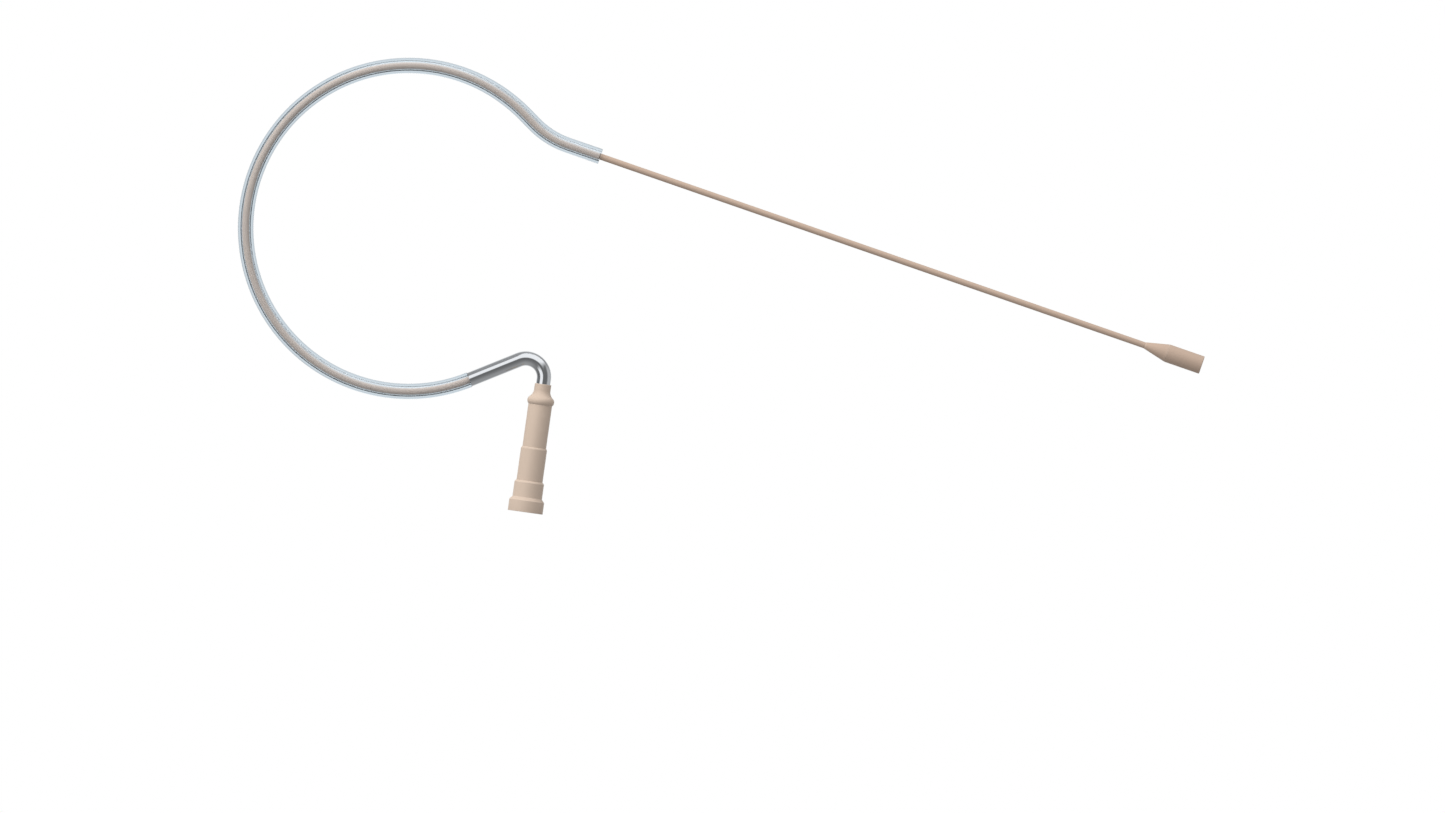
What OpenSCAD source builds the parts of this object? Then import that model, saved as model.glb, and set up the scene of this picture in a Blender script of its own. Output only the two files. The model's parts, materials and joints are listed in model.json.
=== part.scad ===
// Headset microphone for one ear: a sleeved ear loop, a long thin boom with a capsule at its
// tip, and a hooked metal tube that carries the socket for a plug-in cable.
// Frame: origin at the centre of the ear loop, +X forward to the mouth, +Z up, +Y to the left.
// All sizes are in mm and all angles in degrees.

/* [Tubes and lead] */

// Outer diameter of the metal tube that forms the boom
wire_d = 0.94; // [0.8:0.02:1.1]
// Wall thickness of the boom's tube
wire_wall = 0.2; // [0.15:0.01:0.25]
// Radius by which the tube of the ear loop is thicker than the boom's
loop_step_w = 0.06; // [0.04:0.01:0.12]
// Free space around the screened lead inside the tubes
lead_gap = 0.07; // [0.05:0.01:0.1]
// Diameter of the bare copper core where the lead is stripped
core_d = 0.12; // [0.08:0.01:0.14]

/* [Ear loop] */

// Radius of the ear loop to the middle of its tube
loop_r = 24.45; // [21:0.05:29]
// Direction from the loop's centre in which its round part ends at the bottom
loop_end_angle = -68.1; // [-75:0.1:-62]
// Straight run between the loop and the bend back towards the mouth
bend_lead = 2; // [1:0.1:4]
// Radius of the bend back towards the mouth
bend_r = 12.8; // [9:0.1:16]
// Angle of the bend back towards the mouth
bend_angle = 26.57; // [20:0.01:32]
// Straight run from that bend to the end of the comfort sleeve
sleeve_tail = 5.2; // [3:0.1:9]
// Free space between the loop's tube and the bore of the comfort sleeve
sleeve_gap = 0.02; // [0.01:0.01:0.04]
// Wall thickness of the comfort sleeve
sleeve_wall = 0.62; // [0.5:0.02:0.8]

/* [Boom] */

// Angle by which the boom points below the horizontal
boom_angle = 19.13; // [10:0.01:26]
// Length of the boom from the end of the comfort sleeve to the capsule housing
boom_len = 86.46; // [60:0.5:110]
// Gap between the boom's round root and the end of the loop's tube
root_gap = 0.1; // [0.1:0.01:0.2]
// Half of the length of lead that flexes where the boom is bent
flex_half = 1; // [0.8:0.1:1.5]

/* [Capsule] */

// Outer diameter of the protective cap and of the wide end of the housing's cone
cap_d = 2.74; // [2.5:0.02:3.2]
// Wall thickness of the protective cap
cap_wall = 0.2; // [0.15:0.01:0.25]
// Free space around the housing's barrel inside the cap
cap_gap = 0.03; // [0.02:0.01:0.06]
// Length of the protective cap
cap_len = 5.5; // [4.8:0.1:6.5]
// Gap between the cap and the shoulder of the housing
cap_seat = 0.03; // [0.02:0.01:0.1]
// Diameter of the sound opening in the front of the cap
port_d = 1.3; // [0.8:0.05:1.6]
// Length of the housing's cone
cone_len = 3.5; // [3:0.1:5]
// Wall thickness of the housing's barrel
barrel_wall = 0.18; // [0.14:0.01:0.22]
// Length of the microphone capsule's can
can_len = 3.1; // [2.8:0.1:3.4]

/* [Hook tube] */

// Outer diameter of the hook tube
hook_d = 2.18; // [2:0.02:2.3]
// Straight run of the hook tube after the comfort sleeve
hook_run = 8; // [6:0.1:12]
// Radius of the hook to the middle of the tube
hook_r = 2.74; // [2.4:0.02:4]
// Angle that the hook turns through
hook_angle = 119.9; // [100:0.1:135]
// Straight end of the hook tube that shows above the socket
hook_tail = 0.74; // [0.4:0.02:2]
// Free space for the glue between the loop's tube and the hook tube
glue_gap = 0.05; // [0.03:0.01:0.1]
// Length of the loop's tube that is glued into the hook tube
wire_seat = 4; // [3:0.1:5.5]

/* [Socket] */

// Length of the socket from the top of its neck to its mouth
socket_len = 19.4; // [18.5:0.1:22]
// Outer diameter of the neck around the hook tube
neck_d = 2.48; // [2.4:0.02:3]
// Outer diameter of the round bulb below the neck
bulb_d = 4.06; // [3.9:0.02:4.6]
// Radius of the bulb's round side
bulb_round = 0.75; // [0.6:0.05:0.9]
// Radius of the hollow curve from the neck to the bulb
neck_fillet = 1.4; // [1:0.05:1.6]
// Distance from the top of the neck to the bulb's widest point
bulb_at = 2.58; // [2.4:0.02:3]
// Outer diameter of the rear barrel
rear_d = 3.58; // [3.4:0.02:3.7]
// Step in radius from one barrel of the socket to the next
barrel_step_w = 0.18; // [0.12:0.01:0.25]
// Length of the front barrel from its step to the collar
front_len = 5.1; // [4.5:0.1:5.5]
// Outer diameter of the collar behind the mouth
collar_d = 4.46; // [4.3:0.02:5]
// Length of the collar and the flange together, up to the mouth
mouth_len = 4.7; // [4:0.1:5]
// Outer diameter of the flange around the mouth
flange_d = 5.28; // [4.9:0.02:6]
// Length of the flange with its chamfer
flange_len = 2.2; // [1.6:0.05:2.5]

/* [Socket contacts] */

// Depth of the socket from its mouth to the insulator
plug_depth = 4.5; // [3.8:0.1:5]
// Wall thickness of the outer contact around the plug
contact_wall = 0.19; // [0.14:0.01:0.22]
// Width of the shoulder inside the outer contact that stops the plug
contact_shoulder = 0.3; // [0.25:0.05:0.4]
// Outer diameter of the centre contact
pin_d = 0.6; // [0.5:0.02:0.8]
// Bore of the centre contact
pin_bore_d = 0.3; // [0.24:0.02:0.36]

/* [Hidden] */

$fn = 48;

// Overshoot of cutting shapes
cut = 0.5;
// Straight runs reach this far into the bends at their ends, and are this much thinner all over,
// so that a bent tube fuses into one solid
reach = 0.05;
seam = 0.005;

// Wire, lead and sleeve
wire_r = wire_d / 2;
bore_d = wire_d - 2 * wire_wall;
lead_d = bore_d - 2 * lead_gap;
loop_wire_d = wire_d + 2 * loop_step_w;
sleeve_bore_d = loop_wire_d + 2 * sleeve_gap;
sleeve_d = sleeve_bore_d + 2 * sleeve_wall;
hook_bore_d = loop_wire_d + 2 * glue_gap;

// Stations of the bent line, each a point [x, z], from the boom's root back round the loop
loop_top_angle = 90 - boom_angle - bend_angle;
loop_turn = 360 + loop_end_angle - loop_top_angle;
loop_top = go([0, 0], loop_top_angle, loop_r);
bend_start = go(loop_top, loop_top_angle - 90, bend_lead);
bend_centre = go(bend_start, loop_top_angle, bend_r);
bend_end = go(bend_centre, -boom_angle - 90, bend_r);
pivot = go(bend_end, -boom_angle, sleeve_tail);
wire_tail = sleeve_tail - wire_r - root_gap;

// Stations from the bottom of the loop to the mouth of the socket
loop_end = go([0, 0], loop_end_angle, loop_r);
hook_rise = loop_end_angle + 90;
hook_start = go(loop_end, hook_rise, hook_run);
hook_centre = go(hook_start, hook_rise - 90, hook_r);
socket_heading = hook_rise - hook_angle;
hook_end = go(hook_centre, socket_heading + 90, hook_r);
neck_top = go(hook_end, socket_heading, hook_tail);

// Capsule, as distances along the boom from the start of the housing's cone
boom_seat = 2.3;
cone_lip = 0.03;
chamber_lead = 0.3;
chamber_at = cone_len - chamber_lead;
barrel_d = cap_d - 2 * cap_wall - 2 * cap_gap;
can_d = barrel_d - 2 * barrel_wall;
cap_at = cone_len + cap_seat;
cap_tip = cap_at + cap_len;
cap_front = 0.3;
cap_round = 0.15;
mesh_t = 0.08;
mesh_gap = 0.05;
barrel_end = cap_tip - cap_front - mesh_t - mesh_gap;
can_wall = 0.1;
can_recess = 0.1;
can_end = barrel_end - can_recess;
can_at = can_end - can_len;
can_port_d = 0.6;
can_bore_d = can_d - 2 * can_wall;
lip_t = 0.1;
ring_t = 0.15;
film_t = 0.03;
spacer_t = 0.05;
plate_t = 0.3;
board_t = 0.25;
ring_w = 0.2;
spacer_w = 0.22;
plate_d = can_bore_d - 2 * spacer_w;
board_at = can_at + lip_t;
ring_at = can_end - can_wall - ring_t;
film_at = ring_at - film_t;
spacer_at = film_at - spacer_t;
plate_at = spacer_at - plate_t;
holder_lip = 0.1;
holder_bore_d = plate_d - 2 * holder_lip;
chip_size = [0.7, 0.5, 0.3];
plate_hole_d = 0.14;
plate_hole_r = plate_d * 0.3;
plate_holes = 6;
core_len = 0.9;
lead_strip = board_at - core_len;

// Socket, as distances from the top of the neck
spigot_len = 1.3;
seat_past = 0.2;
tube_seat = bulb_at + seat_past;
bulb_end = bulb_at + sqrt(pow(bulb_round, 2) - pow(rear_d / 2 - bulb_d / 2 + bulb_round, 2));
rear_wall = 0.42;
rear_bore_d = rear_d - 2 * rear_wall;
front_d = rear_d + 2 * barrel_step_w;
collar_at = socket_len - mouth_len;
front_at = collar_at - front_len;
barrel_lap = 1.3;
rear_end = front_at + barrel_lap;
contact_recess = 0.4;
contact_end = socket_len - contact_recess;
ring_lap = 1.5;
front_end = collar_at + ring_lap;
edge = 0.25;
flange_edge = 0.45;
flange_at = socket_len - flange_len;
contact_bore_d = rear_d - 2 * contact_wall;
insulator_d = contact_bore_d - 2 * contact_shoulder;
floor_at = socket_len - plug_depth;
groove_depth = 0.08;
groove_w = 0.5;
groove_inset = 1.7;
groove_at = socket_len - groove_inset;
pin_tail = 0.8;
pin_at = rear_end - pin_tail;
pin_recess = 0.25;
pin_end = floor_at - pin_recess;
cup_depth = 0.6;
strip_len = 1.2;
ferrule_d = 1.3;
ferrule_len = 2.4;
ferrule_at = pin_at - strip_len - ferrule_len;
pin_depth = 2.2;
mouth_edge = 0.15;

wire_paint = [0.84, 0.72, 0.63];
clear_silicone = [0.85, 0.91, 0.95, 0.4];
steel = [0.75, 0.76, 0.78];
brass = [0.8, 0.65, 0.35];
gold = [0.9, 0.72, 0.35];
copper = [0.78, 0.48, 0.33];
screen_copper = [0.74, 0.5, 0.37];
white_plastic = [0.93, 0.93, 0.9];
board_green = [0.15, 0.4, 0.22];
chip_black = [0.08, 0.08, 0.09];
film = [0.85, 0.8, 0.6];

// Point reached from p after a length len in the direction heading, in the loop's plane
function go(p, heading, len) = p + len * [cos(heading), sin(heading)];

// Stands a shape drawn in the XY plane up in the loop's plane
module upright() {
    rotate([90, 0, 0])
        children();
}

// Profile of a round rod, or of a tube if it has a bore
module ring(outer_d, inner_d = 0) {
    difference() {
        circle(d = outer_d);
        if (inner_d > 0)
            circle(d = inner_d);
    }
}

// Straight run of tube or rod on the line from p in the direction heading, between two distances
module run(p, heading, from, to, outer_d, inner_d = 0) {
    translate([p.x, p.y, 0])
        rotate([0, 0, heading])
            translate([from, 0, 0])
                rotate([0, 90, 0])
                    linear_extrude(to - from)
                        ring(outer_d - 2 * seam, inner_d > 0 ? inner_d + 2 * seam : 0);
}

// Bend of tube or rod, anticlockwise round centre c from the direction from
module bend(c, r, from, turn, outer_d, inner_d = 0) {
    translate([c.x, c.y, 0])
        rotate([0, 0, from])
            rotate_extrude(angle = turn)
                translate([r, 0])
                    ring(outer_d, inner_d);
}

// The line of the ear loop: its round part, the bend back, and the straight tail up to a distance
module loop_line(tail, outer_d, inner_d = 0) {
    bend([0, 0], loop_r, loop_top_angle, loop_turn, outer_d, inner_d);
    run(loop_top, loop_top_angle - 90, -reach, bend_lead + reach, outer_d, inner_d);
    bend(bend_centre, bend_r, loop_top_angle - 180, bend_angle, outer_d, inner_d);
    run(bend_end, -boom_angle, -reach, tail, outer_d, inner_d);
}

// The line of the hook, from a distance before its first run's end to one past the hook's end
module hook_line(from, past, outer_d, inner_d = 0) {
    run(loop_end, hook_rise, from, hook_run + reach, outer_d, inner_d);
    bend(hook_centre, hook_r, socket_heading + 90, hook_angle, outer_d, inner_d);
    run(hook_end, socket_heading, -reach, past, outer_d, inner_d);
}

// Places a shape whose axis is +Z at the point p, with that axis in the direction heading
module along(p, heading) {
    translate([p.x, 0, p.y])
        rotate([0, 90 - heading, 0])
            children();
}

// Places a capsule part, drawn from the start of the housing's cone towards the mouth
module in_capsule() {
    along(go(pivot, -boom_angle, boom_len), -boom_angle)
        children();
}

// Places a socket part, drawn from the top of the neck towards the mouth
module in_socket() {
    along(neck_top, socket_heading)
        children();
}

// Round part from a to b along its axis, hollow if it has a bore
module turned(a, b, outer_d, inner_d = 0) {
    translate([0, 0, a])
        linear_extrude(b - a)
            ring(outer_d, inner_d);
}

// Solid of revolution from a list of points [radius, distance]
module lathe(points) {
    rotate_extrude()
        polygon(points);
}

// Metal tube of the ear loop, from the hook tube to the boom's root
module ear_wire() {
    color(wire_paint)
        upright() {
            loop_line(wire_tail, loop_wire_d, bore_d);
            run(loop_end, hook_rise, -reach, wire_seat, loop_wire_d, bore_d);
        }
}

// Clear sleeve over the ear loop
module comfort_sleeve() {
    color(clear_silicone)
        upright()
            loop_line(sleeve_tail, sleeve_d, sleeve_bore_d);
}

// Polished tube that hooks over from the end of the sleeve into the socket
module hook_tube() {
    color(steel)
        upright()
            hook_line(0, hook_tail + tube_seat, hook_d, hook_bore_d);
}

// Lead in its copper screen, from the boom's root through the loop and the hook into the socket
module ear_lead() {
    color(screen_copper)
        upright() {
            loop_line(sleeve_tail - flex_half, lead_d);
            hook_line(-reach, hook_tail + ferrule_at + ferrule_len, lead_d);
        }
}

// Stripped core of the lead, soldered into the centre contact
module ear_lead_core() {
    color(copper)
        in_socket()
            turned(ferrule_at + ferrule_len, pin_at + cup_depth, core_d);
}

// Round shoulder that joins the hook tube to the rear barrel, with its neck and bulb
module tube_boot() {
    bulb_x = bulb_d / 2 - bulb_round;
    fillet_x = neck_d / 2 + neck_fillet;
    fillet_at = bulb_at - sqrt(pow(bulb_round + neck_fillet, 2) - pow(fillet_x - bulb_x, 2));
    touch_at = fillet_at + (bulb_at - fillet_at) * neck_fillet / (bulb_round + neck_fillet);
    color(wire_paint)
        in_socket()
            difference() {
                union() {
                    turned(0, bulb_end + spigot_len, neck_d);
                    turned(bulb_end - edge, bulb_end + spigot_len, rear_bore_d);
                    rotate_extrude()
                        difference() {
                            translate([0, fillet_at])
                                square([fillet_x, touch_at - fillet_at]);
                            translate([fillet_x, fillet_at])
                                circle(neck_fillet);
                        }
                    rotate_extrude()
                        intersection() {
                            union() {
                                square([bulb_x, bulb_end]);
                                translate([bulb_x, bulb_at])
                                    circle(bulb_round);
                            }
                            translate([0, touch_at])
                                square([bulb_d, bulb_end - touch_at]);
                        }
                }
                turned(-cut, tube_seat, hook_d);
                turned(0, bulb_end + spigot_len + cut, hook_bore_d);
            }
}

// Rear barrel of the socket
module rear_barrel() {
    color(wire_paint)
        in_socket()
            turned(bulb_end, rear_end, rear_d, rear_bore_d);
}

// Ring that clamps the lead's screen inside the rear barrel
module crimp_ferrule() {
    color(brass)
        in_socket()
            turned(ferrule_at, ferrule_at + ferrule_len, ferrule_d, lead_d);
}

// Front barrel of the socket, over the end of the rear barrel
module front_barrel() {
    color(wire_paint)
        in_socket()
            lathe([
                [rear_d / 2, front_at],
                [rear_d / 2 + edge / 4, front_at],
                [front_d / 2, front_at + edge],
                [front_d / 2, front_end],
                [rear_d / 2, front_end]
            ]);
}

// Outer contact of the socket, with the groove that the plug snaps into
module outer_contact() {
    color(gold)
        in_socket()
            difference() {
                turned(rear_end, contact_end, rear_d, insulator_d);
                turned(floor_at, contact_end + cut, contact_bore_d);
                turned(groove_at - groove_w / 2, groove_at + groove_w / 2,
                    contact_bore_d + 2 * groove_depth, contact_bore_d - cut);
            }
}

// Insulator that holds the centre contact inside the outer one
module socket_insulator() {
    color(white_plastic)
        in_socket()
            turned(rear_end, floor_at, insulator_d, pin_d);
}

// Centre contact, with a bore for the plug's pin and a cup for the lead
module centre_contact() {
    color(gold)
        in_socket()
            difference() {
                turned(pin_at, pin_end, pin_d);
                turned(pin_end - pin_depth, pin_end + cut, pin_bore_d);
                turned(pin_at - cut, pin_at + cup_depth, core_d);
            }
}

// Collar and flange around the mouth of the socket
module mouth_ring() {
    color(wire_paint)
        in_socket()
            difference() {
                lathe([
                    [0, collar_at],
                    [front_d / 2 + edge / 4, collar_at],
                    [collar_d / 2, collar_at + edge],
                    [collar_d / 2, flange_at],
                    [flange_d / 2, flange_at + flange_edge],
                    [flange_d / 2, socket_len - mouth_edge / 2],
                    [flange_d / 2 - mouth_edge / 2, socket_len],
                    [0, socket_len]
                ]);
                turned(collar_at - cut, front_end, front_d);
                turned(front_end - cut, contact_end, rear_d);
                turned(contact_end - cut, socket_len + cut, contact_bore_d);
                lathe([
                    [0, socket_len - mouth_edge],
                    [contact_bore_d / 2, socket_len - mouth_edge],
                    [contact_bore_d / 2 + mouth_edge, socket_len],
                    [contact_bore_d / 2 + mouth_edge, socket_len + cut],
                    [0, socket_len + cut]
                ]);
            }
}

// Short length of lead that flexes where the boom is bent
module flex_lead() {
    color(screen_copper)
        along(pivot, -boom_angle)
            turned(-flex_half, flex_half, lead_d);
}

// Metal tube of the boom, with a round root in the mouth of the comfort sleeve
module boom_tube() {
    color(wire_paint)
        along(pivot, -boom_angle)
            rotate_extrude()
                difference() {
                    union() {
                        circle(wire_r);
                        square([wire_r, boom_len + boom_seat]);
                    }
                    translate([bore_d / 2 - wire_d, -wire_d])
                        square([wire_d, boom_len + boom_seat + 2 * wire_d]);
                }
}

// Lead in its copper screen inside the boom
module boom_lead() {
    color(screen_copper)
        along(pivot, -boom_angle)
            turned(flex_half, boom_len + lead_strip, lead_d);
}

// Stripped core of the lead, soldered to the amplifier board
module boom_lead_core() {
    color(copper)
        in_capsule()
            turned(lead_strip, board_at, core_d);
}

// Cone and barrel that hold the microphone capsule on the end of the boom
module capsule_housing() {
    color(wire_paint)
        in_capsule()
            difference() {
                lathe([
                    [0, 0],
                    [wire_r + cone_lip, 0],
                    [cap_d / 2, cone_len],
                    [barrel_d / 2, cone_len],
                    [barrel_d / 2, barrel_end],
                    [0, barrel_end]
                ]);
                turned(-cut, boom_seat, wire_d);
                turned(boom_seat - cut, chamber_at + cut, bore_d);
                turned(chamber_at, barrel_end + cut, can_d);
            }
}

// Metal can of the microphone capsule, with its rear edge rolled over the board
module capsule_can() {
    color(steel)
        in_capsule()
            difference() {
                turned(can_at, can_end, can_d);
                turned(board_at, can_end - can_wall, can_bore_d);
                turned(can_at - cut, board_at + cut, can_bore_d - 2 * lip_t);
                turned(can_end - 2 * can_wall, can_end + cut, can_port_d);
            }
}

// Ring that stretches the diaphragm
module diaphragm_ring() {
    color(brass)
        in_capsule()
            turned(ring_at, ring_at + ring_t, can_bore_d, can_bore_d - 2 * ring_w);
}

// Thin film that the sound moves
module diaphragm() {
    color(film)
        in_capsule()
            turned(film_at, film_at + film_t, can_bore_d);
}

// Thin ring that keeps the film off the backplate
module spacer_ring() {
    color(white_plastic)
        in_capsule()
            turned(spacer_at, spacer_at + spacer_t, can_bore_d, plate_d);
}

// Charged plate behind the film, with air holes
module backplate() {
    color(brass)
        in_capsule()
            difference() {
                turned(plate_at, plate_at + plate_t, plate_d);
                for (i = [0 : plate_holes - 1])
                    rotate([0, 0, i * 360 / plate_holes])
                        translate([plate_hole_r, 0, 0])
                            turned(plate_at - cut, plate_at + plate_t + cut, plate_hole_d);
            }
}

// Plastic holder that seats the backplate in the can
module plate_holder() {
    color(white_plastic)
        in_capsule()
            difference() {
                turned(board_at + board_t, spacer_at, can_bore_d, holder_bore_d);
                turned(plate_at, spacer_at + cut, plate_d);
            }
}

// Round circuit board at the back of the can
module amplifier_board() {
    color(board_green)
        in_capsule()
            turned(board_at, board_at + board_t, can_bore_d);
}

// Amplifier chip on the board
module amplifier_chip() {
    color(chip_black)
        in_capsule()
            translate([-chip_size.x / 2, -chip_size.y / 2, board_at + board_t])
                cube(chip_size);
}

// Protective cap that pulls off the end of the housing
module protective_cap() {
    color(wire_paint)
        in_capsule()
            difference() {
                rotate_extrude()
                    union() {
                        translate([0, cap_at])
                            square([cap_d / 2, cap_len - cap_round]);
                        translate([0, cap_at])
                            square([cap_d / 2 - cap_round, cap_len]);
                        translate([cap_d / 2 - cap_round, cap_tip - cap_round])
                            circle(cap_round);
                    }
                turned(cap_at - cut, cap_tip - cap_front, cap_d - 2 * cap_wall);
                turned(cap_tip - cap_front - cut, cap_tip + cut, port_d);
            }
}

// Fine mesh behind the cap's sound opening
module cap_mesh() {
    color(steel)
        in_capsule()
            turned(cap_tip - cap_front - mesh_t, cap_tip - cap_front, cap_d - 2 * cap_wall);
}

ear_wire();
comfort_sleeve();
hook_tube();
ear_lead();
ear_lead_core();
tube_boot();
rear_barrel();
crimp_ferrule();
front_barrel();
outer_contact();
socket_insulator();
centre_contact();
mouth_ring();
flex_lead();
boom_tube();
boom_lead();
boom_lead_core();
capsule_housing();
capsule_can();
diaphragm_ring();
diaphragm();
spacer_ring();
backplate();
plate_holder();
amplifier_board();
amplifier_chip();
protective_cap();
cap_mesh();
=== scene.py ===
"""Headset microphone for one ear: sleeved loop, boom with its capsule, hook tube and socket."""

import json
import math

import bmesh
import bpy
from bpy.props import FloatProperty, FloatVectorProperty, IntProperty, PointerProperty
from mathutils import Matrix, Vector


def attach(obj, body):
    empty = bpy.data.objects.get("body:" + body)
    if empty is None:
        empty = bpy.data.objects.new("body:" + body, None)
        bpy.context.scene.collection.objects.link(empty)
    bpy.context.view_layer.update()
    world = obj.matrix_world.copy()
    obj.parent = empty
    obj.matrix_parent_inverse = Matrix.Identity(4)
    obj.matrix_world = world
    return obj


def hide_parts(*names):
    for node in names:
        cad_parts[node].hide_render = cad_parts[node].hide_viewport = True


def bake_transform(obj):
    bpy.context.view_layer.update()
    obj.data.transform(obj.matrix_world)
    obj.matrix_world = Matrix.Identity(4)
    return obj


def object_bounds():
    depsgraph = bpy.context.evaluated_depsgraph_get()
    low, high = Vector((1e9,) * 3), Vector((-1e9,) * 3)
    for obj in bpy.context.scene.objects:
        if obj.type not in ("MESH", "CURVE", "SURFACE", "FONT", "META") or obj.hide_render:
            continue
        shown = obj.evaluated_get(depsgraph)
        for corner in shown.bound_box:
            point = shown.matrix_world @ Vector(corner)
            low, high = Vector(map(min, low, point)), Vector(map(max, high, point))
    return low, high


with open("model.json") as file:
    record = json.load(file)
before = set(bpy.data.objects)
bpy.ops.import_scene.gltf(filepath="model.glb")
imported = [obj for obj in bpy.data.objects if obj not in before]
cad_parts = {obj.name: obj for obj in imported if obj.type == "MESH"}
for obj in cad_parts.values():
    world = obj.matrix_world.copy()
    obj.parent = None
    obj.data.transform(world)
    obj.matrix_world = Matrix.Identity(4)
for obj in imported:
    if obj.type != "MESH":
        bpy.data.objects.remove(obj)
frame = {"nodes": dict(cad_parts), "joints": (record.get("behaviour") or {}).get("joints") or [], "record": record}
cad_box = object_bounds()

bl_info = {
    "name": "Ear Loop Headset Microphone",
    "version": (1, 0, 0),
    "blender": (4, 5, 0),
    "location": "View3D > Sidebar > Headset",
    "description": "Builds a single-ear headset microphone with its finishes and a plain studio",
    "category": "Object",
}

MM = 0.001
JOINTS = {joint["name"]: joint for joint in frame["joints"]}
MOUNTS = {mount["name"]: mount for mount in frame["record"]["mounts"]}
PIVOT = Vector(JOINTS["boom_tilt"]["pos_m"])
BOOM_WAY = Vector(MOUNTS["windscreen_seat"]["axis"]).normalized()
BOOM_HEADING = math.atan2(BOOM_WAY.z, BOOM_WAY.x)
SAME_PLACE = 1e-9  # metres; points closer than this are one
SAME_STATION = 1e-8  # metres; stations of a line closer than this are one
SPARE_LINE = 30 * MM  # length of a line beyond its last piece
SIDE_WAY = Vector((0, 1, 0))
MOST_OF_SIDE = 0.45  # share of a side that a rounding may take
BEND_STEP = math.radians(2.5)  # a bend has a station at least this often
WIRE_SIDES = 6  # sides of each wire of the cap's mesh
SHARP_ANGLE = math.radians(38)  # faces that meet more steeply keep a sharp edge


def number(name, default, description, unit="NONE", **more):
    """A number property, in metres, radians or watts."""
    return FloatProperty(name=name, default=default, description=description, unit=unit, **more)


def length(name, millimetres, description):
    """A length property, given in millimetres and stored in metres."""
    return number(name, millimetres * MM, description, "LENGTH", precision=5, min=0)


def angle(name, degrees, description):
    """An angle property, given in degrees and stored in radians."""
    return number(name, math.radians(degrees), description, "ROTATION")


def colour(name, default, description):
    """A colour property, in linear values."""
    return FloatVectorProperty(
        name=name, default=default, description=description, subtype="COLOR", size=3, min=0, max=1
    )


def linear(*display):
    """The linear colour of a display colour from 0 to 255."""
    shares = [value / 255 for value in display]
    return [s / 12.92 if s <= 0.04045 else ((s + 0.055) / 1.055) ** 2.4 for s in shares]


# -------- sizes and colours


class LoopSizes(bpy.types.PropertyGroup):
    """Sizes of the ear loop, its sleeve and the hook tube."""

    loop_radius: length("Loop Radius", 24.45, "Radius of the loop to the middle of its tube")
    loop_turn: angle("Loop Turn", 247.6, "Angle that the loop covers")
    bend_lead: length("Bend Lead", 2, "Straight run between the loop and its bend")
    bend_radius: length("Bend Radius", 12.8, "Radius of the bend towards the mouth")
    bend_turn: angle("Bend Turn", 26.57, "Angle of the bend towards the mouth")
    sleeve_tail: length("Sleeve Tail", 5.2, "Straight end of the comfort sleeve")
    tube_d: length("Tube Diameter", 1.06, "Diameter of the loop's metal tube")
    tube_bore: length("Tube Bore", 0.54, "Bore of the metal tubes")
    cup_r: length("Cup Radius", 0.5, "Radius of the hollow that holds the boom's root")
    cup_edge: length("Cup Edge", 0.18, "Distance from the boom's pivot to the hollow's edge")
    cup_bore: length("Cup Bore", 0.66, "Bore of the loop's tube at the hollow")
    lead_d: length("Lead Diameter", 0.4, "Diameter of the lead")
    flex_half: length("Half Bend", 1, "Length of lead that bends on each side")
    sleeve_d: length("Sleeve Diameter", 2.34, "Diameter of the comfort sleeve")
    sleeve_bore: length("Sleeve Bore", 1.1, "Bore of the comfort sleeve")
    hook_d: length("Hook Diameter", 2.18, "Diameter of the hook tube")
    hook_bore: length("Hook Bore", 1.16, "Bore of the hook tube")
    hook_run: length("Hook Run", 8, "Straight run of the hook before its bend")
    hook_radius: length("Hook Radius", 2.74, "Radius of the hook to the middle of its tube")
    hook_turn: angle("Hook Turn", 119.9, "Angle that the hook turns through")
    hook_tail: length("Hook Tail", 0.74, "Straight end of the hook above the socket")
    tube_seat: length("Tube Seat", 2.78, "Length of hook tube inside the socket")
    wire_seat: length("Wire Seat", 4, "Length of the loop's tube inside the hook tube")


class BoomSizes(bpy.types.PropertyGroup):
    """Sizes of the boom and of the capsule on its end."""

    boom_d: length("Boom Diameter", 0.94, "Diameter of the boom's tube")
    boom_length: length("Boom Length", 86.46, "Length from the sleeve to the capsule's cone")
    root_bore: length("Root Bore", 0.72, "Bore of the boom's round root")
    boom_seat: length("Boom Seat", 2.3, "Length of boom inside the capsule's cone")
    cone_length: length("Cone Length", 3.5, "Length of the capsule housing's cone")
    cap_d: length("Cap Diameter", 2.74, "Diameter of the protective cap")
    cap_bore: length("Cap Bore", 2.34, "Bore of the protective cap")
    cap_length: length("Cap Length", 5.5, "Length of the protective cap")
    cap_front: length("Cap Front", 0.3, "Thickness of the cap's front wall")
    cap_gap: length("Cap Gap", 0.03, "Gap between the cap and the housing")
    seam: length("Seam", 0.006, "Visible gap at the cap's lip")
    port_d: length("Port Diameter", 1.3, "Diameter of the cap's sound opening")
    barrel_d: length("Barrel Diameter", 2.28, "Diameter of the barrel inside the cap")
    barrel_bore: length("Barrel Bore", 1.92, "Bore of the barrel inside the cap")
    mesh_wires: IntProperty(name="Mesh Wires", default=15, description="Wires each way", min=3)


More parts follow.
